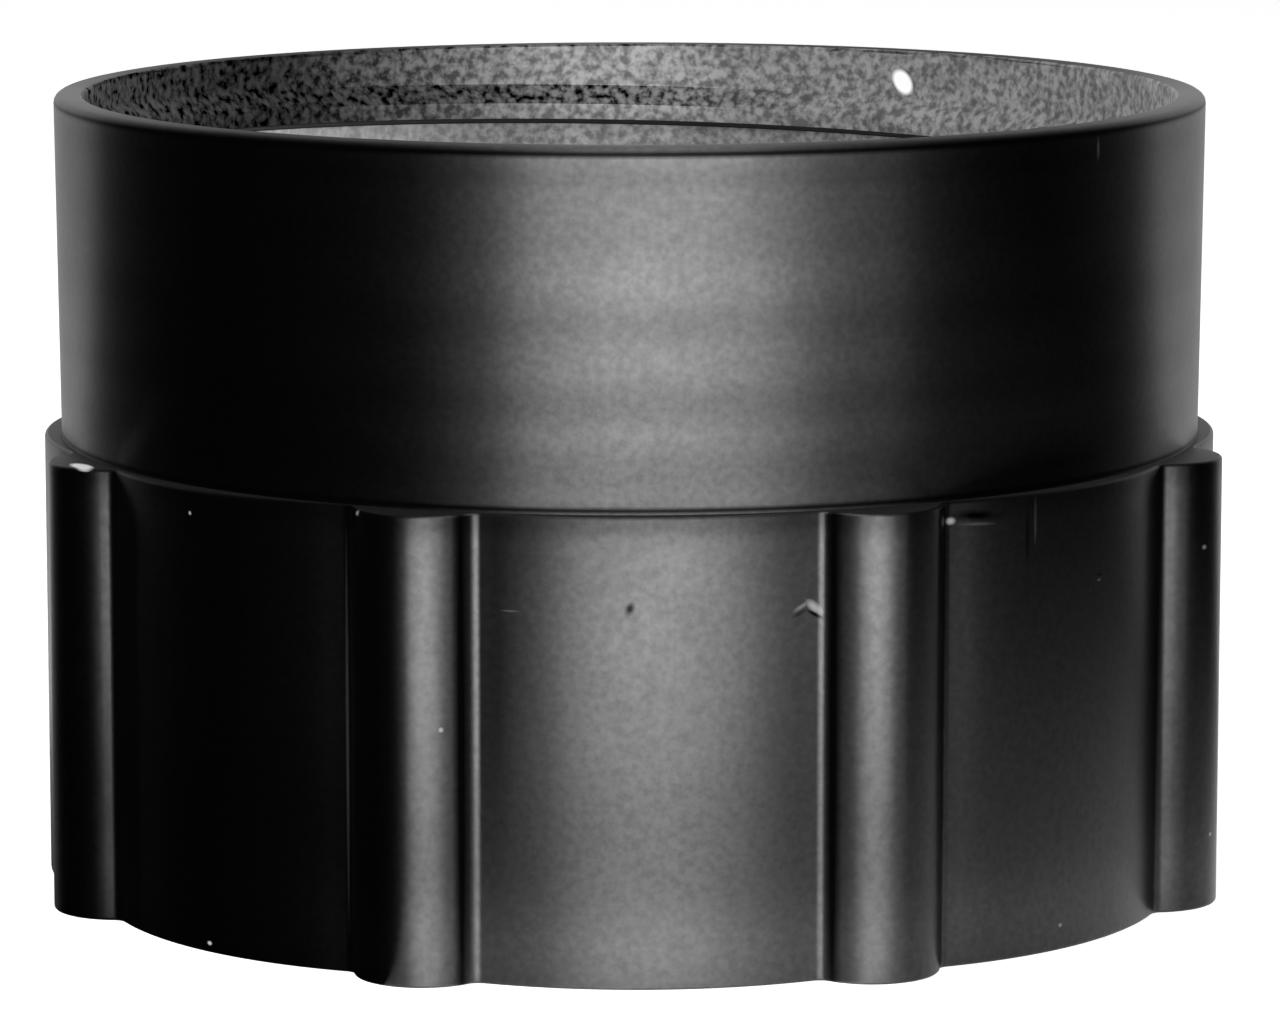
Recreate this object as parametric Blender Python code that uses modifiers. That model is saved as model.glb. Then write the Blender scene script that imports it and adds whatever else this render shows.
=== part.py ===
"""Hose thread adapter, moulded in one piece in black ABS.

A plain barrel stands on a wider collar that has eight rounded grip ribs. The barrel is a
socket with a coarse right-hand thread inside, into which a ribbed hose is screwed. A stop
ring parts the socket from the plain slip bore in the collar.

Metres, +Z up along the bore. The origin is the centre of the ribbed end, on which the part
stands, and a panel between two ribs faces -Y.
"""

import math

import bmesh
import bpy

MM = 0.001

# Barrel, a little wider at its mouth than at its foot
BARREL_HEIGHT = 26.3 * MM
BARREL_RADIUS = 44.45 * MM
BARREL_TAPER = 0.3 * MM
BARREL_WALL = 2.3 * MM
RIM_OUTER_ROUND = 0.6 * MM
RIM_INNER_ROUND = 0.3 * MM

# Collar, its panels and its ribs. The ledge is how far the middle of a panel stands out past
# the barrel's foot, and the panels are rounder than a circle about the bore.
COLLAR_HEIGHT = 34.4 * MM
COLLAR_LEDGE = 1.35 * MM
COLLAR_WALL = 2.8 * MM
COLLAR_EDGE_ROUND = 0.25 * MM
PANEL_ROUND = 30.0 * MM
RIB_COUNT = 8
RIB_HEIGHT = 2.1 * MM
RIB_ROUND = 5.1 * MM
RIB_FILLET = 0.9 * MM

# Bores: the wall of each one narrows by its draft from the mouth to the stop ring
BORE_DRAFT = 0.25 * MM
STOP_WIDTH = 2.6 * MM
STOP_THICKNESS = 3.0 * MM
STOP_CHAMFER = 0.5 * MM
SLIP_MOUTH_CHAMFER = 0.5 * MM

# Hose thread, one ridge that winds down the wall of the socket. Its flank towards the mouth
# slopes gently, so that the hose winds in, and the other one is steep and holds it. At both
# ends the ridge sinks into the wall, a little deeper than it is high.
THREAD_PITCH = 5.55 * MM
THREAD_HEIGHT = 1.1 * MM
THREAD_LEAD_FLANK = 1.6 * MM
THREAD_CREST = 1.3 * MM
THREAD_HOLD_FLANK = 0.35 * MM
THREAD_CORNER = 0.15 * MM
THREAD_START_DEPTH = 3.2 * MM
THREAD_START_ANGLE = math.radians(250)
THREAD_FADE_ANGLE = math.radians(60)
THREAD_FLOOR_GAP = 3.2 * MM
THREAD_ROOT = 0.15 * MM
THREAD_SINK = 1.1

# Facets of a full turn, of each stretch of the collar's outline and of the small rounds
TURN_STEPS = 80
PANEL_STEPS = 8
RIB_STEPS = 8
FILLET_STEPS = 3
ROUND_STEPS = 3
EDGE_STEPS = 2

# How far a solid runs past the face that it is joined to or cuts through
OVERRUN = 1.0 * MM
WELD = 0.001 * MM
FLAT = math.radians(0.05)

BODY_COLOUR = (0.012, 0.012, 0.013, 1.0)
BODY_ROUGHNESS = 0.38

TOTAL_HEIGHT = COLLAR_HEIGHT + BARREL_HEIGHT
BARREL_FOOT_RADIUS = BARREL_RADIUS - BARREL_TAPER
COLLAR_RADIUS = BARREL_FOOT_RADIUS + COLLAR_LEDGE
SOCKET_RADIUS = BARREL_RADIUS - BARREL_WALL
SLIP_RADIUS = COLLAR_RADIUS - COLLAR_WALL
STOP_RADIUS = SOCKET_RADIUS - STOP_WIDTH
STOP_UNDERSIDE = COLLAR_HEIGHT - STOP_THICKNESS


def clear_scene():
    for item in list(bpy.data.objects):
        bpy.data.objects.remove(item, do_unlink=True)


def new_collection(name):
    collection = bpy.data.collections.new(name)
    bpy.context.scene.collection.children.link(collection)
    return collection


def abs_plastic():
    """Black moulded ABS with a satin skin."""
    material = bpy.data.materials.new("black_abs")
    material.use_nodes = True
    shader = material.node_tree.nodes["Principled BSDF"]
    shader.inputs["Base Color"].default_value = BODY_COLOUR
    shader.inputs["Roughness"].default_value = BODY_ROUGHNESS
    shader.inputs["Metallic"].default_value = 0.0
    material.diffuse_color = BODY_COLOUR
    return material


def as_guide(item):
    """Marks a solid that is only joined to the body or cut from it."""
    item.hide_render = True
    item.display_type = "WIRE"
    return item


def arc(centre, radius, start, end, steps):
    """Points along an arc, both ends included; the angles are in degrees."""
    points = []
    for step in range(steps + 1):
        angle = math.radians(start + (end - start) * step / steps)
        points.append((centre[0] + radius * math.cos(angle), centre[1] + radius * math.sin(angle)))
    return points


def turned(name, profile, collection):
    """A solid of revolution; the profile is (radius, height), from the axis to the axis."""
    mesh = bpy.data.meshes.new(name)
    points = [(radius, 0.0, height) for radius, height in profile]
    edges = [(index, index + 1) for index in range(len(points) - 1)]
    mesh.from_pydata(points, edges, [])
    item = bpy.data.objects.new(name, mesh)
    collection.objects.link(item)
    screw = item.modifiers.new("turn", "SCREW")
    screw.axis = "Z"
    screw.angle = math.tau
    screw.steps = TURN_STEPS
    screw.render_steps = TURN_STEPS
    screw.use_merge_vertices = True
    screw.merge_threshold = WELD
    return item


def mesh_from_curve(item, collection):
    """Turns a curve object into a welded mesh object at the same place."""
    bpy.context.view_layer.update()
    evaluated = item.evaluated_get(bpy.context.evaluated_depsgraph_get())
    mesh = bpy.data.meshes.new_from_object(evaluated)
    cage = bmesh.new()
    cage.from_mesh(mesh)
    bmesh.ops.remove_doubles(cage, verts=cage.verts, dist=WELD)
    bmesh.ops.dissolve_limit(cage, angle_limit=FLAT, verts=cage.verts, edges=cage.edges)
    cage.to_mesh(mesh)
    cage.free()
    name = item.name
    solid = bpy.data.objects.new(name, mesh)
    solid.matrix_world = item.matrix_world.copy()
    bpy.data.objects.remove(item, do_unlink=True)
    solid.name = name
    collection.objects.link(solid)
    return solid


def join(body, other, operation):
    """Adds a live Boolean to the body, UNION or DIFFERENCE."""
    boolean = body.modifiers.new(other.name, "BOOLEAN")
    boolean.operation = operation
    boolean.solver = "EXACT"
    boolean.object = other


def barrel_profile():
    """Outside of the barrel, with the rim's outer edge rounded."""
    edge = arc(
        (BARREL_RADIUS - RIM_OUTER_ROUND, TOTAL_HEIGHT - RIM_OUTER_ROUND),
        RIM_OUTER_ROUND,
        90,
        0,
        ROUND_STEPS,
    )
    foot = [
        (BARREL_FOOT_RADIUS, COLLAR_HEIGHT),
        (BARREL_FOOT_RADIUS, COLLAR_HEIGHT - OVERRUN),
    ]
    return [(0.0, TOTAL_HEIGHT)] + edge + foot + [(0.0, COLLAR_HEIGHT - OVERRUN)]


def bore_profile():
    """Everything that is hollow, from above the rim down past the ribbed end."""
    lip = arc(
        (SOCKET_RADIUS + RIM_INNER_ROUND, TOTAL_HEIGHT - RIM_INNER_ROUND),
        RIM_INNER_ROUND,
        90,
        180,
        ROUND_STEPS,
    )
    above = TOTAL_HEIGHT + OVERRUN
    stop_ring = [
        (STOP_RADIUS + STOP_CHAMFER, COLLAR_HEIGHT),
        (STOP_RADIUS, COLLAR_HEIGHT - STOP_CHAMFER),
        (STOP_RADIUS, STOP_UNDERSIDE + STOP_CHAMFER),
        (STOP_RADIUS + STOP_CHAMFER, STOP_UNDERSIDE),
    ]
    slip_bore = [
        (SLIP_RADIUS - BORE_DRAFT, STOP_UNDERSIDE),
        (SLIP_RADIUS, SLIP_MOUTH_CHAMFER),
        (SLIP_RADIUS + SLIP_MOUTH_CHAMFER, 0.0),
        (SLIP_RADIUS + SLIP_MOUTH_CHAMFER, -OVERRUN),
    ]
    top = [(0.0, above), (SOCKET_RADIUS + RIM_INNER_ROUND, above)]
    floor = [(SOCKET_RADIUS - BORE_DRAFT, COLLAR_HEIGHT)]
    return top + lip + floor + stop_ring + slip_bore + [(0.0, -OVERRUN)]


def collar_outline():
    """Closed outline of the ribbed collar, seen along the bore.

    Each rib and each panel is an arc about its own centre. A small fillet touches both arcs,
    so the three centres make a triangle that gives both touching points.
    """
    sector = 360 / RIB_COUNT
    half_sector = math.radians(sector / 2)
    rib_centre = COLLAR_RADIUS + RIB_HEIGHT - RIB_ROUND
    panel_offset = COLLAR_RADIUS - PANEL_ROUND
    panel_out = panel_offset * math.cos(half_sector)
    panel_across = panel_offset * math.sin(half_sector)

    to_rib = math.hypot(rib_centre - panel_out, panel_across)
    to_fillet = PANEL_ROUND + RIB_FILLET
    rib_to_fillet = RIB_ROUND + RIB_FILLET
    turn = math.acos((to_fillet**2 + to_rib**2 - rib_to_fillet**2) / (2 * to_fillet * to_rib))
    turn -= math.atan2(panel_across, rib_centre - panel_out)
    fillet_out = panel_out + to_fillet * math.cos(turn)
    fillet_across = panel_across + to_fillet * math.sin(turn)
    flank = math.degrees(math.atan2(fillet_across, fillet_out - rib_centre))
    root = math.degrees(turn)

    rib_round = arc((rib_centre, 0.0), RIB_ROUND, -flank, flank, RIB_STEPS)
    leave = arc((fillet_out, fillet_across), RIB_FILLET, flank - 180, root - 180, FILLET_STEPS)
    panel = arc((panel_out, panel_across), PANEL_ROUND, root, sector - root, PANEL_STEPS)
    enter = [(x, -y) for x, y in reversed(leave)]
    one_sector = rib_round[:-1] + leave[:-1] + panel[:-1]

    outline = []
    for rib in range(RIB_COUNT):
        angle = math.radians(sector * (rib + 0.5))
        for x, y in enter[:-1] + one_sector:
            outline.append(
                (
                    x * math.cos(angle) - y * math.sin(angle),
                    x * math.sin(angle) + y * math.cos(angle),
                )
            )
    return outline


def ribbed_collar(collection):
    """The collar as a full disc with its end edges rounded; the bore is cut later."""
    curve = bpy.data.curves.new("ribbed_collar", "CURVE")
    curve.dimensions = "2D"
    curve.fill_mode = "BOTH"
    curve.extrude = COLLAR_HEIGHT / 2
    outline = collar_outline()
    spline = curve.splines.new("POLY")
    spline.points.add(len(outline) - 1)
    for point, (x, y) in zip(spline.points, outline):
        point.co = (x, y, 0.0, 1.0)
    spline.use_cyclic_u = True
    item = bpy.data.objects.new("ribbed_collar", curve)
    item.location.z = COLLAR_HEIGHT / 2
    collection.objects.link(item)
    solid = mesh_from_curve(item, collection)
    bevel = solid.modifiers.new("edge_round", "BEVEL")
    bevel.width = COLLAR_EDGE_ROUND
    bevel.segments = EDGE_STEPS
    bevel.limit_method = "ANGLE"
    bevel.angle_limit = math.radians(60)
    return solid


def socket_wall_radius(height):
    """Radius of the socket's wall at a height, with its draft."""
    share = (TOTAL_HEIGHT - height) / BARREL_HEIGHT
    return SOCKET_RADIUS - BORE_DRAFT * share


def thread_section(collection):
    """Cross-section of the ridge: X points to the bore's axis, Y along it."""
    curve = bpy.data.curves.new("thread_section", "CURVE")
    curve.dimensions = "2D"
    lead_slope = THREAD_LEAD_FLANK / THREAD_HEIGHT
    hold_slope = THREAD_HOLD_FLANK / THREAD_HEIGHT
    crest_half = THREAD_CREST / 2
    past_crest = THREAD_HEIGHT + THREAD_ROOT
    points = [
        (-THREAD_ROOT, crest_half + lead_slope * past_crest),
        (THREAD_HEIGHT - THREAD_CORNER, crest_half + lead_slope * THREAD_CORNER),
        (THREAD_HEIGHT, crest_half - THREAD_CORNER),
        (THREAD_HEIGHT, THREAD_CORNER - crest_half),
        (THREAD_HEIGHT - THREAD_CORNER, -crest_half - hold_slope * THREAD_CORNER),
        (-THREAD_ROOT, -crest_half - hold_slope * past_crest),
    ]
    spline = curve.splines.new("POLY")
    spline.points.add(len(points) - 1)
    for point, (x, y) in zip(spline.points, points):
        point.co = (x, y, 0.0, 1.0)
    spline.use_cyclic_u = True
    item = bpy.data.objects.new("thread_section", curve)
    collection.objects.link(item)
    return as_guide(item)


def hose_thread(collection):
    """The right-hand ridge; at both ends its path sinks into the wall and fades out.

    Its points lie half a facet off those of the wall, so that no edges of the two coincide.
    """
    step_angle = math.tau / TURN_STEPS
    length = BARREL_HEIGHT - THREAD_START_DEPTH - THREAD_FLOOR_GAP
    steps = round(length / THREAD_PITCH * TURN_STEPS)
    fade_steps = THREAD_FADE_ANGLE / step_angle
    curve = bpy.data.curves.new("hose_thread", "CURVE")
    curve.dimensions = "3D"
    curve.twist_mode = "Z_UP"
    curve.use_fill_caps = True
    curve.bevel_mode = "OBJECT"
    section = thread_section(collection)
    curve.bevel_object = section
    spline = curve.splines.new("POLY")
    spline.points.add(steps)
    for step, point in enumerate(spline.points):
        angle = THREAD_START_ANGLE - (step + 0.5) * step_angle
        height = TOTAL_HEIGHT - THREAD_START_DEPTH - THREAD_PITCH * step / TURN_STEPS
        from_end = min(step, steps - step, fade_steps) / fade_steps
        sunk = THREAD_SINK * THREAD_HEIGHT * (1 + math.cos(math.pi * from_end)) / 2
        radius = socket_wall_radius(height) + sunk
        point.co = (radius * math.cos(angle), radius * math.sin(angle), height, 1.0)
    item = bpy.data.objects.new("hose_thread", curve)
    collection.objects.link(item)
    solid = mesh_from_curve(item, collection)
    bpy.data.objects.remove(section, do_unlink=True)
    return solid


def build():
    clear_scene()
    parts = new_collection("hose_thread_adapter")
    guides = new_collection("guides")

    body = turned("adapter_body", barrel_profile(), parts)
    body.data.materials.append(abs_plastic())
    collar = as_guide(ribbed_collar(guides))
    bore = as_guide(turned("bore", bore_profile(), guides))
    thread = as_guide(hose_thread(guides))

    join(body, collar, "UNION")
    join(body, bore, "DIFFERENCE")
    join(body, thread, "UNION")
    weld = body.modifiers.new("weld", "WELD")
    weld.merge_threshold = WELD


build()
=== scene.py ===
"""Looks of the hose thread adapter: one black ABS moulding on a pale floor."""
import math

import bmesh
import bpy
from mathutils import Matrix, Vector


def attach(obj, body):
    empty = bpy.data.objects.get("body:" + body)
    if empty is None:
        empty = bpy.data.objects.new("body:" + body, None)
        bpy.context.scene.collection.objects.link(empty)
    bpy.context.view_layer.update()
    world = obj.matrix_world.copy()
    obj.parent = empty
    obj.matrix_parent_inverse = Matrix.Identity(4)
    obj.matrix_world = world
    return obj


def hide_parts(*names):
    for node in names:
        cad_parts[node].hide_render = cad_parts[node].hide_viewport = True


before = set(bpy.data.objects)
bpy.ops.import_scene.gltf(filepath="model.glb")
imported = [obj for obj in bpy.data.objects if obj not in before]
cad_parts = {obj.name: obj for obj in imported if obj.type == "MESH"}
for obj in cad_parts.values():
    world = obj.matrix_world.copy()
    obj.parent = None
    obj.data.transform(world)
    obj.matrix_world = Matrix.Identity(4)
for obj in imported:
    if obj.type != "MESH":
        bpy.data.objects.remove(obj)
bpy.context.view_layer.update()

MM = 0.001
UP = (0.0, 0.0, 1.0)
ORIGIN = (0.0, 0.0, 0.0)
WHITE = (1.0, 1.0, 1.0, 1.0)

# Sizes of the moulding, the same as in its source
BARREL_HEIGHT = 26.3 * MM
BARREL_RADIUS = 44.45 * MM
BARREL_TAPER = 0.3 * MM
BARREL_WALL = 2.3 * MM
RIM_OUTER_ROUND = 0.6 * MM
RIM_INNER_ROUND = 0.3 * MM
COLLAR_HEIGHT = 34.4 * MM
COLLAR_LEDGE = 1.35 * MM
COLLAR_WALL = 2.8 * MM
COLLAR_EDGE_ROUND = 0.25 * MM
PANEL_ROUND = 30.0 * MM
RIB_COUNT = 8
RIB_HEIGHT = 2.1 * MM
RIB_ROUND = 5.1 * MM
RIB_FILLET = 0.9 * MM
BORE_DRAFT = 0.25 * MM
STOP_WIDTH = 2.6 * MM
STOP_THICKNESS = 3.0 * MM
STOP_CHAMFER = 0.5 * MM
SLIP_MOUTH_CHAMFER = 0.5 * MM
THREAD_PITCH = 5.55 * MM
THREAD_HEIGHT = 1.1 * MM
THREAD_LEAD_FLANK = 1.6 * MM
THREAD_CREST = 1.3 * MM
THREAD_HOLD_FLANK = 0.35 * MM
THREAD_CORNER = 0.15 * MM
THREAD_START_DEPTH = 3.2 * MM
THREAD_START_ANGLE = math.radians(250)
THREAD_FADE_ANGLE = math.radians(60)
THREAD_FLOOR_GAP = 3.2 * MM
THREAD_SINK = 1.1

TOTAL_HEIGHT = COLLAR_HEIGHT + BARREL_HEIGHT
BARREL_FOOT_RADIUS = BARREL_RADIUS - BARREL_TAPER
COLLAR_RADIUS = BARREL_FOOT_RADIUS + COLLAR_LEDGE
SOCKET_RADIUS = BARREL_RADIUS - BARREL_WALL
SLIP_RADIUS = COLLAR_RADIUS - COLLAR_WALL
STOP_RADIUS = SOCKET_RADIUS - STOP_WIDTH
STOP_UNDERSIDE = COLLAR_HEIGHT - STOP_THICKNESS

# How finely things are divided
TURN_STEPS = 360
RIB_STEPS = 12
FILLET_STEPS = 6
PANEL_STEPS = 10
CORNER_STEPS = 3
ROUND_STEPS = 4
WELD = 0.005 * MM
SHARP_ANGLE = math.radians(33)
CARD_STEPS = 48

# Black ABS with a satin skin; a span is the part of a noise pattern's range that is used
BLACK_ABS = "#020202"
ABS_IOR = 1.54
TURNED_SHEEN = 0.95
QUARTER_TURN = 0.25
SHEEN_LEVEL = 0.65
SATIN_ROUGHNESS = 0.44
ROUGHNESS_DRIFT = 0.02
GRAIN_SIZE = 0.25 * MM
GRAIN_DEPTH = 0.003 * MM
GRAIN_DETAIL = 2.0
CLOUD_SIZE = 8 * MM
CLOUD_DETAIL = 3.0
CLOUD_SPAN = (0.3, 0.7)
MOTTLE_SIZE = 0.55 * MM
MOTTLE_LEVEL = 0.16

# Duller black ABS, on the ledge and under the ridge, where the dullness paints the ridge's shadow
MATT_ROUGHNESS = 0.5
LEDGE_SHEEN = 0.5
UNDERCUT_SHADOW_SHEEN = 0.3

# Grained black ABS in the socket, where the mould's core was not polished
CORE_SHEEN = 0.6
CORE_ROUGHNESS = 0.5
CORE_GRAIN_SIZE = 0.3 * MM
CORE_GRAIN_DEPTH = 0.02 * MM
CORE_BLOTCH_SIZE = 0.65 * MM
CORE_BLOTCH_SPAN = (0.38, 0.64)
CORE_CLOUD_SIZE = 3.0 * MM
CORE_CLOUD_SPAN = (0.3, 0.6)
CORE_CLOUD_LEAST = 0.75

# Its haze: the colour, then the share of the haze and the least level of its blotches, first at
# the left and then at the right, and the two distances to the right of the axis between which they
# change; it thins out with depth in the socket. A low share at the left paints shade on the wall
# and on the lead flank; below the ridge, the near-white haze is painted light, strongest at the
# left
CORE_GREY = "#8e8e8e"
LOWER_LIGHT_WHITE = "#f4f4f4"
PAINTED_LIGHT_EDGES = (-28 * MM, -8 * MM)
FLANK_SHADE_EDGES = (1 * MM, 18 * MM)
WALL_HAZE_AND_SHADE = (CORE_GREY, (0.24, 0.0), (1.05, 0.36), PAINTED_LIGHT_EDGES)
LOWER_PAINTED_LIGHT = (LOWER_LIGHT_WHITE, (1.0, 0.75), (0.32, 0.45), PAINTED_LIGHT_EDGES)
FLANK_HAZE_AND_SHADE = (CORE_GREY, (0.3, 0.0), (1.1, 0.36), FLANK_SHADE_EDGES)
HAZE_DEPTHS = (47 * MM, 52 * MM)
HAZE_LEAST = 0.25

# Which finish a face has; the normal of a flank's face points up or down by more than FLANK_LEAN
SATIN, WALL, LOWER_WALL, LEDGE, LEAD_FLANK, HOLD_FLANK = range(6)
FLANK_LEAN = 0.4

# The sheen's level on the barrel and the collar, and the faint bands that run round the skin, two
# of them painted: the height and half width in mm, and the change of the sheen
BARREL_SHEEN = 0.97
COLLAR_SHEEN = 0.80
BAND_EDGE = 0.2
BANDS_AND_PAINTED_LINES = (
    # A deep dip on the rim's outer round paints its dark reflection
    (60.2, 0.40, -0.92),
    (58.4, 1.2, -0.15),
    (51.5, 2.2, 0.12),
    (48.0, 1.8, -0.13),
    (42.3, 2.2, -0.2),
    (37.3, 3.0, -0.22),
    # A deep dip just above the ledge paints shade at the barrel's foot
    (34.68, 0.32, -0.88),
    (34.0, 1.6, -0.35),
    (26.5, 9.0, 0.15),
    (10.5, 7.0, -0.14),
    (3.3, 4.0, 0.18),
)

# Marks, among them painted highlights and painted shade: degrees to the right of the camera's side,
# then distance from the axis, height, half width and half height in mm, tilt in degrees, and
# strength, which is full at 1
MARK_AND_HIGHLIGHT_WHITE = "#ffffff"
MARK_DEPTH = 0.8 * MM
MARK_EDGE = 0.25
PALE_MARKS_AND_HIGHLIGHTS = (
    (-45.0, 45.47, 32.66, 0.20, 0.18, 0, 0.25),
    (-24.85, 46.43, 34.24, 0.26, 0.22, 0, 0.15),
    (-16.84, 46.62, 18.92, 0.20, 0.24, 0, 0.25),
    (-42.90, 45.47, 0.74, 0.28, 0.20, 0, 0.5),
    (66.65, 47.12, 27.90, 0.28, 0.22, 0, 0.15),
    (68.22, 47.51, 5.61, 0.26, 0.20, 0, 0.3),
    (44.31, 45.46, 1.90, 0.26, 0.20, 0, 0.2),
    # A painted highlight on the top corner of a rib
    (-63.1, 46.00, 34.35, 1.80, 0.40, 0, 2.0),
    (50.43, 44.40, 59.00, 0.20, 0.95, 0, 0.03),
    (31.22, 44.60, 33.01, 0.50, 0.34, 0, 0.3),
    (34.00, 44.87, 32.65, 1.90, 0.14, -3, 0.03),
    (40.60, 45.33, 32.30, 0.20, 2.20, 0, 0.015),
    (49.50, 45.46, 27.25, 0.36, 0.14, 0, 0.04),
    (15.95, 44.75, 27.62, 0.90, 0.20, 28, 0.12),
    (17.20, 44.62, 27.50, 0.95, 0.42, -42, 0.28),
    (-10.98, 44.91, 27.47, 0.90, 0.10, 0, 0.05),
    # A faint painted highlight that runs down the end of a panel, beside a rib
    (-27.20, 44.90, 18.00, 0.20, 17.00, 0, 0.02),
)
DARK_MARKS_AND_SHADE = (
    (33.90, 44.90, 33.28, 2.70, 0.50, -4, 1.0),
    (39.70, 45.30, 31.40, 0.28, 2.60, 0, 0.7),
    (49.50, 45.46, 27.65, 0.45, 0.16, 0, 0.8),
    (0.02, 45.48, 27.85, 0.42, 0.62, -25, 0.85),
    # The next two paint the shadow under the nub
    (15.75, 44.75, 27.12, 0.80, 0.20, 25, 0.6),
    (17.20, 44.62, 27.00, 0.90, 0.20, -30, 1.0),
    # The last two paint shade in the creases at the roots of two ribs
    (18.75, 45.35, 17.00, 0.90, 60.0, 0, 0.95),
    (-15.40, 45.55, 17.00, 0.90, 60.0, 0, 0.95),
)
CORE_MARKS = (
    (147.46, 42.17, 58.09, 0.90, 1.30, -40, 2.5),
)

# The room: white paper and walls
PAPER_WHITE = "#f2f2f2"
FLOOR_SIZE = 3.0
FLOOR_GLOW = 0.8
ROOM_LIGHT = 0.06

# Cards that only reflections see: how near to the axis each begins, and the two angles in degrees
# to the right of the camera's side between which it stands
CARD_BLACK = "#050505"
BACK_GREY = 0.6
BLACK_CARDS = (
    ("card_left", 0.044, -130, -22),
    ("card_right", 0.075, 26, 122),
)
BACK_CARD = ("card_back", 0.20, 123, 229)
CARD_RADIUS = 1.40
CARD_HEIGHT = 4.00
CARD_LIFT = 0.05 * MM

# Front panels, which only reflections see: four of growing width, one behind the other, and a faint
# one at each side. Degrees to the right of the camera's side, distance, width and radiance
FRONT_PANELS = (
    ("front_panel_1", 4.5, 1.20, 0.47, 7.0),
    ("front_panel_2", 5.2, 1.21, 0.91, 7.0),
    ("front_panel_3", 5.8, 1.22, 1.28, 7.0),
    ("front_panel_4", 10.0, 1.23, 1.99, 7.0),
    ("front_panel_left", -29.0, 1.24, 0.28, 2.2),
    ("front_panel_right", 45.0, 1.24, 0.36, 4.0),
)
FRONT_PANEL_HEIGHT = 0.22
FRONT_PANEL_LENGTH = 0.40

# Square side panels, which no reflection sees: degrees, distance, height, size and radiance
SIDE_PANELS = (
    ("left_panel", -60, 0.90, 0.38, 0.60, 9.7),
    ("right_panel", 55, 0.90, 0.30, 0.50, 7.5),
)

# A dim square panel above
TOP_PANEL_HEIGHT = 0.9
TOP_PANEL_SIZE = 0.8
TOP_PANEL_RADIANCE = 0.3

# Camera: turned a little from the middle of the front panel and raised, about a centre on the
# bore's axis; it aims at a distance to the right of the axis and a height
CAMERA_TURN = math.radians(-1.83)
CAMERA_ELEVATION = math.radians(8.711)
CAMERA_DISTANCE = 0.4982
CAMERA_CENTRE_HEIGHT = 30.45 * MM
CAMERA_AIM = (0.80 * MM, 27.85 * MM)
FOCAL_PIXELS = 6374
PHOTO_WIDTH_PIXELS = 1280
SENSOR_WIDTH = 36.0
CLIP_START = 0.01
CLIP_END = 20.0


def linear(code):
    """Linear colour of an sRGB hex code."""
    colour = []
    for place in (1, 3, 5):
        level = int(code[place:place + 2], 16) / 255
        colour.append(level / 12.92 if level <= 0.04045 else ((level + 0.055) / 1.055) ** 2.4)
    return (*colour, 1.0)


def only(kind, geometry):
    """The vertices, or the edges, among pieces of geometry."""
    return [item for item in geometry if isinstance(item, kind)]


def turn(cage, geometry, angle, steps, centre=ORIGIN, rise=0.0, copy=False):
    """Turns geometry about a vertical axis, and gives back what ends up last."""
    made = bmesh.ops.spin(
        cage,
        geom=geometry,
        cent=centre,
        axis=UP,
        dvec=(0.0, 0.0, rise / steps),
        angle=angle,
        steps=steps,
        use_duplicate=copy,
    )
    return made["geom_last"]


def collar_outline(cage):
    """Closed outline of the eight ribs and panels: one vertex is turned about three centres."""
    half_sector = math.pi / RIB_COUNT
    rib = Vector((COLLAR_RADIUS + RIB_HEIGHT - RIB_ROUND, 0.0, 0.0))
    panel_way = Vector((math.cos(half_sector), math.sin(half_sector), 0.0))
    panel = (COLLAR_RADIUS - PANEL_ROUND) * panel_way
    to_rib = rib - panel
    to_fillet = PANEL_ROUND + RIB_FILLET
    rib_to_fillet = RIB_ROUND + RIB_FILLET
    squares = to_fillet**2 + to_rib.length_squared - rib_to_fillet**2
    root = math.acos(squares / (2 * to_fillet * to_rib.length))
    root += math.atan2(to_rib.y, to_rib.x)
    fillet = panel + to_fillet * Vector((math.cos(root), math.sin(root), 0.0))
    flank = math.atan2(fillet.y, fillet.x - rib.x)

    crest = cage.verts.new((COLLAR_RADIUS + RIB_HEIGHT, 0.0, 0.0))
    last = turn(cage, [crest], flank, RIB_STEPS, centre=rib)
    last = turn(cage, last, root - flank, FILLET_STEPS, centre=fillet)
    turn(cage, last, half_sector - root, PANEL_STEPS, centre=panel)
    half = cage.verts[:] + cage.edges[:]
    bmesh.ops.mirror(cage, geom=half, matrix=Matrix.Identity(4), merge_dist=WELD, axis="Y")
    sector = cage.verts[:] + cage.edges[:]
    repeats = RIB_COUNT - 1
    turn(cage, sector, math.tau * repeats / RIB_COUNT, repeats, copy=True)
    bmesh.ops.remove_doubles(cage, verts=cage.verts, dist=WELD)
    half_a_sector_on = Matrix.Rotation(half_sector, 3, "Z")
    bmesh.ops.rotate(cage, verts=cage.verts, cent=ORIGIN, matrix=half_a_sector_on)
    return cage.edges[:]


def ring_on(cage, ring, radius=None, height=None):
    """Extrudes a ring of edges, with the new one at another radius or height."""
    made = bmesh.ops.extrude_edge_only(cage, edges=ring)["geom"]
    verts = only(bmesh.types.BMVert, made)
    if radius is not None:
        grow = radius / verts[0].co.xy.length
        bmesh.ops.scale(cage, vec=(grow, grow, 1.0), verts=verts)
    if height is not None:
        for vert in verts:
            vert.co.z = height
    fresh = set(verts)
    return [edge for edge in only(bmesh.types.BMEdge, made) if fresh.issuperset(edge.verts)]


def socket_wall_radius(height):
    """The bore narrows a little with depth, for its draft."""
    share = (TOTAL_HEIGHT - height) / BARREL_HEIGHT
    return SOCKET_RADIUS - BORE_DRAFT * share


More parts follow.
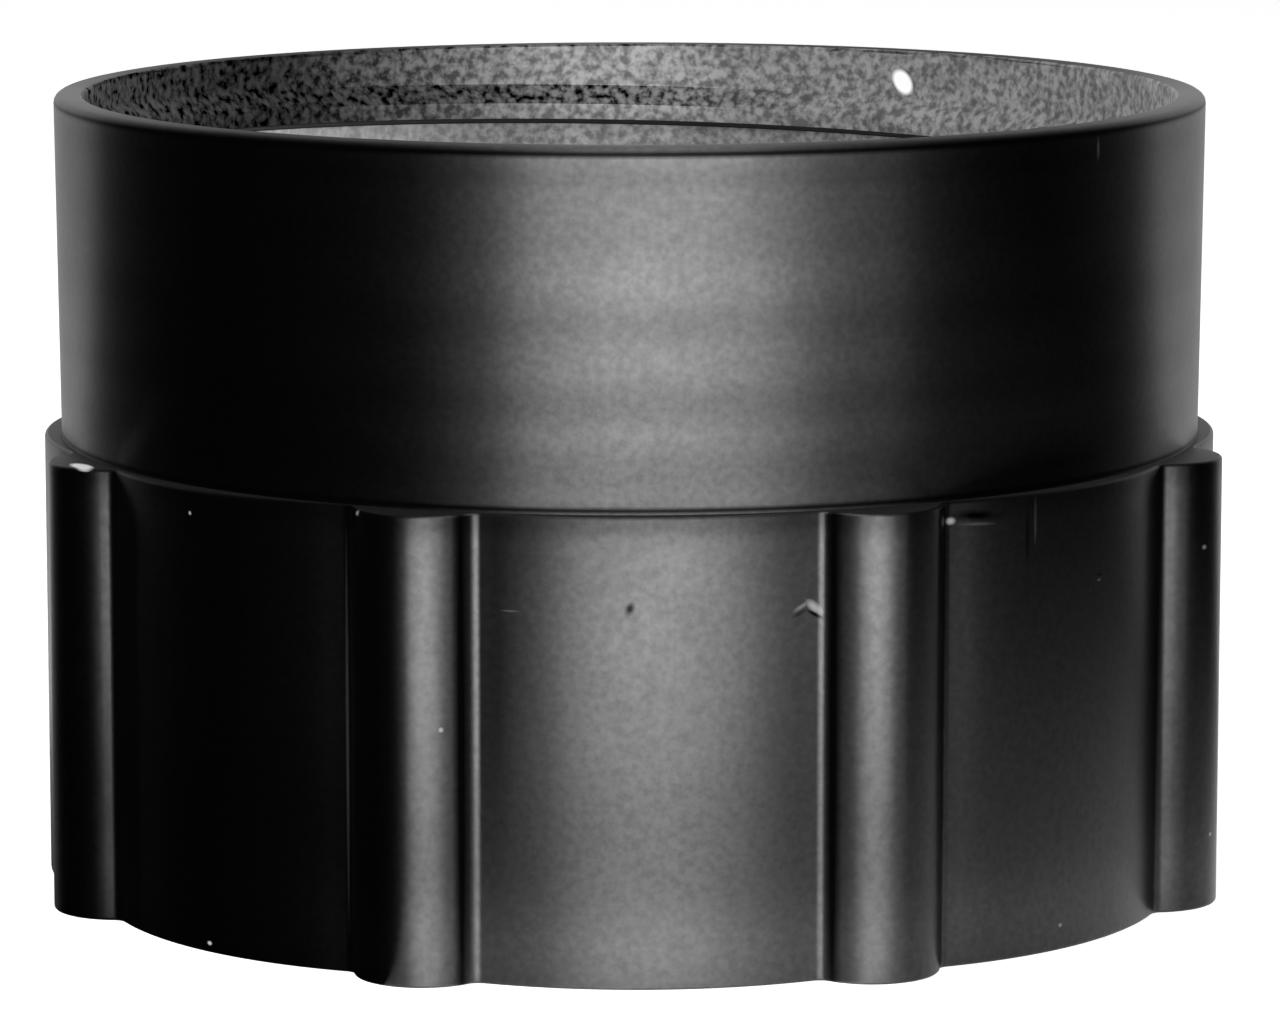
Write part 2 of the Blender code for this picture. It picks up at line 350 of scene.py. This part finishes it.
def threaded_wall(cage):
    """The socket's wall with its ridge, as one profile turned while it climbs a pitch."""
    path_top = TOTAL_HEIGHT - THREAD_START_DEPTH
    path_foot = COLLAR_HEIGHT + THREAD_FLOOR_GAP
    at_zero = path_top - THREAD_PITCH * THREAD_START_ANGLE / math.tau
    crest_half = THREAD_CREST / 2
    section = [
        (0.0, -crest_half - THREAD_HOLD_FLANK),
        (THREAD_HEIGHT, -crest_half),
        (THREAD_HEIGHT, crest_half),
        (0.0, crest_half + THREAD_LEAD_FLANK),
    ]
    lowest = math.floor((COLLAR_HEIGHT - at_zero) / THREAD_PITCH) - 1
    highest = math.ceil((TOTAL_HEIGHT - at_zero) / THREAD_PITCH) + 1
    corners = []
    for turns in range(lowest, highest):
        for inset, along in section:
            height = at_zero + turns * THREAD_PITCH + along
            corners.append(cage.verts.new((SOCKET_RADIUS - inset, 0.0, height)))
    for pair in zip(corners, corners[1:]):
        cage.edges.new(pair)
    bmesh.ops.bevel(
        cage,
        geom=corners[1:-1],
        offset=THREAD_CORNER,
        segments=CORNER_STEPS,
        profile=0.5,
        affect="VERTICES",
        material=-1,
    )
    turn(cage, cage.verts[:] + cage.edges[:], math.tau, TURN_STEPS, rise=THREAD_PITCH)
    bmesh.ops.remove_doubles(cage, verts=cage.verts, dist=WELD)

    turns_long = (path_top - path_foot) / THREAD_PITCH
    fade_turns = THREAD_FADE_ANGLE / math.tau
    for vert in cage.verts:
        angle = math.atan2(vert.co.y, vert.co.x) % math.tau
        crest_height = at_zero + THREAD_PITCH * angle / math.tau
        crest_height += THREAD_PITCH * round((vert.co.z - crest_height) / THREAD_PITCH)
        run = (path_top - crest_height) / THREAD_PITCH
        from_end = max(0.0, min(run, turns_long - run, fade_turns)) / fade_turns
        sunk = THREAD_SINK * THREAD_HEIGHT * (1 + math.cos(math.pi * from_end)) / 2
        inset = max(0.0, SOCKET_RADIUS - vert.co.xy.length - sunk)
        vert.co.xy = vert.co.xy.normalized() * (socket_wall_radius(vert.co.z) - inset)

    for height, side in ((COLLAR_HEIGHT, -1.0), (TOTAL_HEIGHT, 1.0)):
        cut = bmesh.ops.bisect_plane(
            cage,
            geom=cage.verts[:] + cage.edges[:] + cage.faces[:],
            dist=WELD,
            plane_co=(0.0, 0.0, height),
            plane_no=(0.0, 0.0, side),
            clear_outer=True,
        )
        for vert in only(bmesh.types.BMVert, cut["geom_cut"]):
            vert.co.z = height


def moulding():
    """The whole body as one closed skin, sharp-edged at first and then rounded."""
    cage = bmesh.new()
    outline_foot = collar_outline(cage)
    outline_top = ring_on(cage, outline_foot, height=COLLAR_HEIGHT)

    wall = bmesh.new()
    threaded_wall(wall)
    mesh = bpy.data.meshes.new("socket")
    wall.to_mesh(mesh)
    wall.free()
    cage.from_mesh(mesh)
    bpy.data.meshes.remove(mesh)

    def wall_end(height):
        """The open edges at one end of the socket's wall."""
        def at_end(vert):
            in_socket = vert.co.xy.length < SOCKET_RADIUS + WELD
            return in_socket and abs(vert.co.z - height) < WELD

        return [
            edge
            for edge in cage.edges
            if len(edge.link_faces) == 1 and all(at_end(vert) for vert in edge.verts)
        ]

    lip = wall_end(TOTAL_HEIGHT)
    rim = ring_on(cage, lip, radius=BARREL_RADIUS)
    foot = ring_on(cage, rim, radius=BARREL_FOOT_RADIUS, height=COLLAR_HEIGHT)
    floor = wall_end(COLLAR_HEIGHT)
    stop_top = ring_on(cage, floor, radius=STOP_RADIUS)
    stop_under = ring_on(cage, stop_top, height=STOP_UNDERSIDE)
    slip_end = ring_on(cage, stop_under, radius=SLIP_RADIUS - BORE_DRAFT)
    slip_mouth = ring_on(cage, slip_end, radius=SLIP_RADIUS, height=0.0)
    for edges in (foot + outline_top, slip_mouth + outline_foot):
        bmesh.ops.triangle_fill(cage, edges=edges, use_beauty=True, normal=UP)
    bmesh.ops.recalc_face_normals(cage, faces=cage.faces)

    rounds = (
        (lip, RIM_INNER_ROUND, ROUND_STEPS),
        (rim, RIM_OUTER_ROUND, ROUND_STEPS),
        (outline_top + outline_foot, COLLAR_EDGE_ROUND, CORNER_STEPS),
        (stop_top + stop_under, STOP_CHAMFER, 1),
        (slip_mouth, SLIP_MOUTH_CHAMFER, 1),
    )
    for edges, width, segments in rounds:
        bmesh.ops.bevel(
            cage,
            geom=edges,
            offset=width,
            offset_type="OFFSET",
            segments=segments,
            profile=0.5,
            affect="EDGES",
            material=-1,
        )
    return cage


def node(tree, kind, inputs=(), **settings):
    """Adds a node with its settings, and fills its inputs by name or in their own order.

    An input takes a constant, a socket, or a node, which stands for its first output.
    """
    made = tree.nodes.new(kind)
    for name, value in settings.items():
        setattr(made, name, value)
    filled = inputs.items() if isinstance(inputs, dict) else enumerate(inputs)
    for name, value in filled:
        if isinstance(value, bpy.types.Node):
            value = value.outputs[0]
        if isinstance(value, bpy.types.NodeSocket):
            tree.links.new(value, made.inputs[name])
        else:
            made.inputs[name].default_value = value
    return made


def new_material(name):
    """A material with an empty tree."""
    material = bpy.data.materials.new(name)
    material.use_nodes = True
    material.node_tree.nodes.clear()
    return material, material.node_tree


def spot_strength(tree, place, marks):
    """How strongly the spots of a table, painted light among them, cover a place: 0 away from them.
    """
    strongest = 0.0
    for turned, distance, height, half_width, half_height, tilt, strength in marks:
        frame_of_mark = {
            "Vector": place,
            "Location": around(turned, distance * MM, height * MM),
            "Rotation": (math.radians(tilt), 0.0, math.radians(turned - 90) + CAMERA_TURN),
            "Scale": (MARK_DEPTH, half_width * MM, half_height * MM),
        }
        spot = node(tree, "ShaderNodeMapping", frame_of_mark, vector_type="TEXTURE")
        reach = node(tree, "ShaderNodeVectorMath", (spot,), operation="LENGTH").outputs["Value"]
        level = node(tree, "ShaderNodeMapRange", (reach, MARK_EDGE, 1.0, strength, 0.0))
        strongest = node(tree, "ShaderNodeMath", (strongest, level), operation="MAXIMUM")
    return strongest


def sheen_with_painted_lines(tree, place):
    """The sheen's level at each height: a step at the ledge, one band after another, two painted.
    """
    height = node(tree, "ShaderNodeSeparateXYZ", (place,)).outputs["Z"]
    ledge = (COLLAR_HEIGHT - WELD, COLLAR_HEIGHT + WELD)
    level = node(tree, "ShaderNodeMapRange", (height, *ledge, COLLAR_SHEEN, BARREL_SHEEN))
    for middle, half_width, change in BANDS_AND_PAINTED_LINES:
        above = node(tree, "ShaderNodeMath", (height, middle * MM), operation="SUBTRACT")
        away = node(tree, "ShaderNodeMath", (above,), operation="ABSOLUTE")
        reach = half_width * MM
        band = node(tree, "ShaderNodeMapRange", (away, BAND_EDGE * reach, reach, 1 + change, 1.0))
        level = node(tree, "ShaderNodeMath", (level, band), operation="MULTIPLY")
    return node(tree, "ShaderNodeMath", (level, SHEEN_LEVEL), operation="MULTIPLY")


def turned_sheen(tree, inputs):
    """Moulded plastic whose highlight is drawn out along the bore."""
    common = {
        "IOR": ABS_IOR,
        "Anisotropic": TURNED_SHEEN,
        "Anisotropic Rotation": QUARTER_TURN,
        "Tangent": node(tree, "ShaderNodeTangent", direction_type="RADIAL", axis="Z"),
    }
    plastic = node(tree, "ShaderNodeBsdfPrincipled", common | inputs)
    node(tree, "ShaderNodeOutputMaterial", {"Surface": plastic})


def satin_black_abs():
    """Injection-moulded black ABS: a satin skin, with a fine grain that breaks up its highlight."""
    material, tree = new_material("satin_black_abs")
    place = node(tree, "ShaderNodeTexCoord").outputs["Object"]
    fine = {"Vector": place, "Scale": 1 / GRAIN_SIZE, "Detail": GRAIN_DETAIL}
    grain = node(tree, "ShaderNodeTexNoise", fine)
    relief = {"Height": grain, "Strength": 1.0, "Distance": GRAIN_DEPTH}

    wide = {"Vector": place, "Scale": 1 / CLOUD_SIZE, "Detail": CLOUD_DETAIL}
    clouds = node(tree, "ShaderNodeTexNoise", wide)
    drift = (SATIN_ROUGHNESS - ROUGHNESS_DRIFT, SATIN_ROUGHNESS + ROUGHNESS_DRIFT)

    small = {"Vector": place, "Scale": 1 / MOTTLE_SIZE, "Detail": CLOUD_DETAIL}
    spots = node(tree, "ShaderNodeTexNoise", small)
    levels = (1 - MOTTLE_LEVEL, 1 + MOTTLE_LEVEL)
    mottle = node(tree, "ShaderNodeMapRange", (spots, *CLOUD_SPAN, *levels))
    # Dark spots take sheen and pale away; among them are painted shade and a painted shadow
    dark = spot_strength(tree, place, DARK_MARKS_AND_SHADE)
    away_from_dark_spots = node(tree, "ShaderNodeMapRange", (dark, 0.0, 1.0, 1.0, 0.0))
    sheen = sheen_with_painted_lines(tree, place)
    for change in (mottle, away_from_dark_spots):
        sheen = node(tree, "ShaderNodeMath", (sheen, change), operation="MULTIPLY")

    # Pale spots, with the painted highlights among them
    marks = spot_strength(tree, place, PALE_MARKS_AND_HIGHLIGHTS)
    pale = node(tree, "ShaderNodeMath", (marks, away_from_dark_spots), operation="MULTIPLY")
    colours = {"Factor": pale, "A": linear(BLACK_ABS), "B": linear(MARK_AND_HIGHLIGHT_WHITE)}
    turned_sheen(tree, {
        "Base Color": node(tree, "ShaderNodeMix", colours, data_type="RGBA").outputs["Result"],
        "Roughness": node(tree, "ShaderNodeMapRange", (clouds, *CLOUD_SPAN, *drift)),
        "Specular IOR Level": sheen,
        "Normal": node(tree, "ShaderNodeBump", relief),
    })
    return material


def matt_black_abs(name, sheen):
    """The same black ABS where it only gleams faintly: on the ledge, and under the ridge as painted
    shadow.
    """
    material, tree = new_material(name)
    place = node(tree, "ShaderNodeTexCoord").outputs["Object"]
    pale = spot_strength(tree, place, PALE_MARKS_AND_HIGHLIGHTS)
    colours = {"Factor": pale, "A": linear(BLACK_ABS), "B": linear(MARK_AND_HIGHLIGHT_WHITE)}
    plastic = node(tree, "ShaderNodeBsdfPrincipled", {
        "Base Color": node(tree, "ShaderNodeMix", colours, data_type="RGBA").outputs["Result"],
        "Roughness": MATT_ROUGHNESS,
        "IOR": ABS_IOR,
        "Specular IOR Level": sheen,
    })
    node(tree, "ShaderNodeOutputMaterial", {"Surface": plastic})
    return material


def grain_and_painted_light_abs(name, grey, left, right, edges):
    """The same black ABS in the socket: the mould core's greyish, blotchy grain, with painted light
    and shade.
    """
    material, tree = new_material(name)
    place = node(tree, "ShaderNodeTexCoord").outputs["Object"]
    fine = {"Vector": place, "Scale": 1 / CORE_GRAIN_SIZE, "Detail": GRAIN_DETAIL}
    grain = node(tree, "ShaderNodeTexNoise", fine)
    relief = {"Height": grain, "Strength": 1.0, "Distance": CORE_GRAIN_DEPTH}

    parts = node(tree, "ShaderNodeSeparateXYZ", (place,)).outputs
    # Share and least level go from left to right; the share paints light and shade across the
    # socket
    share, least = (
        node(tree, "ShaderNodeMapRange", (parts["X"], *edges, *levels))
        for levels in zip(left, right)
    )
    small = {"Vector": place, "Scale": 1 / CORE_BLOTCH_SIZE, "Detail": CLOUD_DETAIL}
    spots = node(tree, "ShaderNodeTexNoise", small)
    blotches = node(tree, "ShaderNodeMapRange", (spots, *CORE_BLOTCH_SPAN, least, 1.0))
    wide = {"Vector": place, "Scale": 1 / CORE_CLOUD_SIZE, "Detail": CLOUD_DETAIL}
    patches = node(tree, "ShaderNodeTexNoise", wide)
    clouds = node(tree, "ShaderNodeMapRange", (patches, *CORE_CLOUD_SPAN, CORE_CLOUD_LEAST, 1.0))
    depth = node(tree, "ShaderNodeMapRange", (parts["Z"], *HAZE_DEPTHS, HAZE_LEAST, 1.0))
    haze = blotches
    for change in (clouds, share, depth):
        haze = node(tree, "ShaderNodeMath", (haze, change), operation="MULTIPLY")

    hazy = {"Factor": haze, "A": linear(BLACK_ABS), "B": linear(grey)}
    skin = node(tree, "ShaderNodeMix", hazy, data_type="RGBA").outputs["Result"]
    spotted = {"Factor": spot_strength(tree, place, CORE_MARKS), "A": skin, "B": linear(MARK_AND_HIGHLIGHT_WHITE)}
    sheen = node(tree, "ShaderNodeMath", (blotches, CORE_SHEEN), operation="MULTIPLY")
    turned_sheen(tree, {
        "Base Color": node(tree, "ShaderNodeMix", spotted, data_type="RGBA").outputs["Result"],
        "Roughness": CORE_ROUGHNESS,
        "Specular IOR Level": sheen,
        "Normal": node(tree, "ShaderNodeBump", relief),
    })
    return material


def seen_by_eye_or_mirror(tree):
    """1 for what the camera or a reflection sees, and 0 for the light that falls on things."""
    path = node(tree, "ShaderNodeLightPath").outputs
    rays = (path["Is Camera Ray"], path["Is Glossy Ray"])
    seen = node(tree, "ShaderNodeMath", rays, operation="ADD")
    return node(tree, "ShaderNodeMath", (seen, path["Is Transmission Ray"]), operation="ADD")


def white_paper():
    """Matt white paper that the eye and reflections see lit up to white, with its shadow kept."""
    material, tree = new_material("white_paper")
    seen = seen_by_eye_or_mirror(tree)
    glow = node(tree, "ShaderNodeMath", (seen, FLOOR_GLOW), operation="MULTIPLY")
    paper = node(tree, "ShaderNodeBsdfDiffuse", {"Color": linear(PAPER_WHITE)})
    light = node(tree, "ShaderNodeEmission", {"Color": WHITE, "Strength": glow})
    both = node(tree, "ShaderNodeAddShader", (paper, light))
    node(tree, "ShaderNodeOutputMaterial", {"Surface": both})
    return material


def black_card():
    """Matt black card, whose reflection keeps the plastic black beside its highlights."""
    material, tree = new_material("black_card")
    card = node(tree, "ShaderNodeBsdfDiffuse", {"Color": linear(CARD_BLACK)})
    node(tree, "ShaderNodeOutputMaterial", {"Surface": card})
    return material


def grey_card():
    """Grey card behind the object, a step darker than the white room."""
    material, tree = new_material("grey_card")
    card = node(tree, "ShaderNodeEmission", {"Color": WHITE, "Strength": BACK_GREY})
    node(tree, "ShaderNodeOutputMaterial", {"Surface": card})
    return material


def show(name, cage, materials, smooth=True):
    """Makes an object of a cage, at the origin and unscaled."""
    mesh = bpy.data.meshes.new(name)
    cage.to_mesh(mesh)
    cage.free()
    for material in materials:
        mesh.materials.append(material)
    if smooth:
        mesh.shade_smooth()
        mesh.set_sharp_from_angle(angle=SHARP_ANGLE)
    item = bpy.data.objects.new(name, mesh)
    bpy.context.scene.collection.objects.link(item)
    return item


def ridge_height(place):
    """Height of the ridge's first turn on one side of the socket."""
    run = (THREAD_START_ANGLE - math.atan2(place.y, place.x)) % math.tau
    return TOTAL_HEIGHT - THREAD_START_DEPTH - THREAD_PITCH * run / math.tau


def body():
    """The moulding with its finishes, in place of the CAD's body."""
    cage = moulding()
    in_socket = SOCKET_RADIUS + RIM_INNER_ROUND / 2
    for face in cage.faces:
        middle = face.calc_center_median()
        reach = middle.xy.length
        if reach < in_socket and middle.z > COLLAR_HEIGHT + WELD:
            if face.normal.z < -FLANK_LEAN:
                face.material_index = HOLD_FLANK
            elif middle.z < ridge_height(middle) - THREAD_CREST / 2:
                face.material_index = LOWER_WALL
            else:
                face.material_index = LEAD_FLANK if face.normal.z > FLANK_LEAN else WALL
        elif abs(middle.z - COLLAR_HEIGHT) < WELD and reach > SOCKET_RADIUS:
            face.material_index = LEDGE
    finishes = {
        SATIN: satin_black_abs(),
        WALL: grain_and_painted_light_abs("grain_and_painted_light_abs", *WALL_HAZE_AND_SHADE),
        # Below the ridge, a near-white haze is painted light
        LOWER_WALL: grain_and_painted_light_abs("lower_wall_painted_light_abs", *LOWER_PAINTED_LIGHT),
        LEDGE: matt_black_abs("matt_black_abs", LEDGE_SHEEN),
        LEAD_FLANK: grain_and_painted_light_abs("flank_painted_shade_abs", *FLANK_HAZE_AND_SHADE),
        # Under the ridge, the duller finish is a painted shadow
        HOLD_FLANK: matt_black_abs("undercut_shadow_black_abs", UNDERCUT_SHADOW_SHEEN),
    }
    shell = show("adapter_shell", cage, finishes.values())
    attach(shell, "root")
    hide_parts("adapter_body")


def around(azimuth, distance, height):
    """A point at an angle to the right of the camera's side of the object."""
    angle = math.radians(azimuth - 90) + CAMERA_TURN
    return Vector((distance * math.cos(angle), distance * math.sin(angle), height))


def sweep(name, nearest, start, end, material):
    """A card that lies on the floor and then stands, turned part of the way round the object."""
    cage = bmesh.new()
    section = ((nearest, CARD_LIFT), (CARD_RADIUS, CARD_LIFT), (CARD_RADIUS, CARD_HEIGHT))
    verts = [cage.verts.new(around(start, *point)) for point in section]
    edges = [cage.edges.new(pair) for pair in zip(verts, verts[1:])]
    turn(cage, verts + edges, math.radians(end - start), CARD_STEPS)
    card = show(name, cage, [material])
    card.visible_camera = False
    card.visible_diffuse = False
    card.visible_shadow = False


def lamp(name, place, width, height, radiance):
    """A flat panel that faces the object, equally bright whatever its size."""
    data = bpy.data.lights.new(name, "AREA")
    data.shape = "RECTANGLE"
    data.size = width
    data.size_y = height
    data.energy = radiance * math.pi * width * height
    item = bpy.data.objects.new(name, data)
    item.location = place
    to_object = Vector((0.0, 0.0, TOTAL_HEIGHT / 2)) - place
    item.rotation_euler = to_object.to_track_quat("-Z", "Y").to_euler()
    item.visible_camera = False
    bpy.context.scene.collection.objects.link(item)
    return item


def studio():
    """The floor, the cards, the lamps and the room's own light."""
    floor = bmesh.new()
    bmesh.ops.create_grid(floor, x_segments=1, y_segments=1, size=FLOOR_SIZE)
    show("floor", floor, [white_paper()], smooth=False)

    black = black_card()
    for card in BLACK_CARDS:
        sweep(*card, black)
    sweep(*BACK_CARD, grey_card())

    for name, azimuth, distance, width, radiance in FRONT_PANELS:
        place = around(azimuth, distance, FRONT_PANEL_HEIGHT)
        lamp(name, place, width, FRONT_PANEL_LENGTH, radiance).visible_diffuse = False
    for name, azimuth, distance, height, size, radiance in SIDE_PANELS:
        place = around(azimuth, distance, height)
        lamp(name, place, size, size, radiance).visible_glossy = False
    place = around(0, 0.0, TOP_PANEL_HEIGHT)
    lamp("top_panel", place, TOP_PANEL_SIZE, TOP_PANEL_SIZE, TOP_PANEL_RADIANCE)

    world = bpy.data.worlds.new("room")
    bpy.context.scene.world = world
    world.use_nodes = True
    tree = world.node_tree
    tree.nodes.clear()
    seen = seen_by_eye_or_mirror(tree)
    level = node(tree, "ShaderNodeMapRange", (seen, 0.0, 1.0, ROOM_LIGHT, 1.0))
    glow = node(tree, "ShaderNodeBackground", {"Color": WHITE, "Strength": level})
    node(tree, "ShaderNodeOutputWorld", {"Surface": glow})


def camera():
    """A long lens at the photograph's angle: from above the rim, aimed just below the ledge."""
    away = CAMERA_DISTANCE * math.cos(CAMERA_ELEVATION)
    rise = CAMERA_DISTANCE * math.sin(CAMERA_ELEVATION)
    place = around(0, away, CAMERA_CENTRE_HEIGHT + rise)
    across, height = CAMERA_AIM
    aim = around(90, across, height)
    data = bpy.data.cameras.new("camera")
    data.sensor_width = SENSOR_WIDTH
    data.lens = SENSOR_WIDTH * FOCAL_PIXELS / PHOTO_WIDTH_PIXELS
    data.clip_start = CLIP_START
    data.clip_end = CLIP_END
    item = bpy.data.objects.new("camera", data)
    item.location = place
    item.rotation_euler = (aim - place).to_track_quat("-Z", "Y").to_euler()
    bpy.context.scene.collection.objects.link(item)
    bpy.context.scene.camera = item


body()
studio()
camera()
bpy.context.scene.view_settings.view_transform = "Standard"
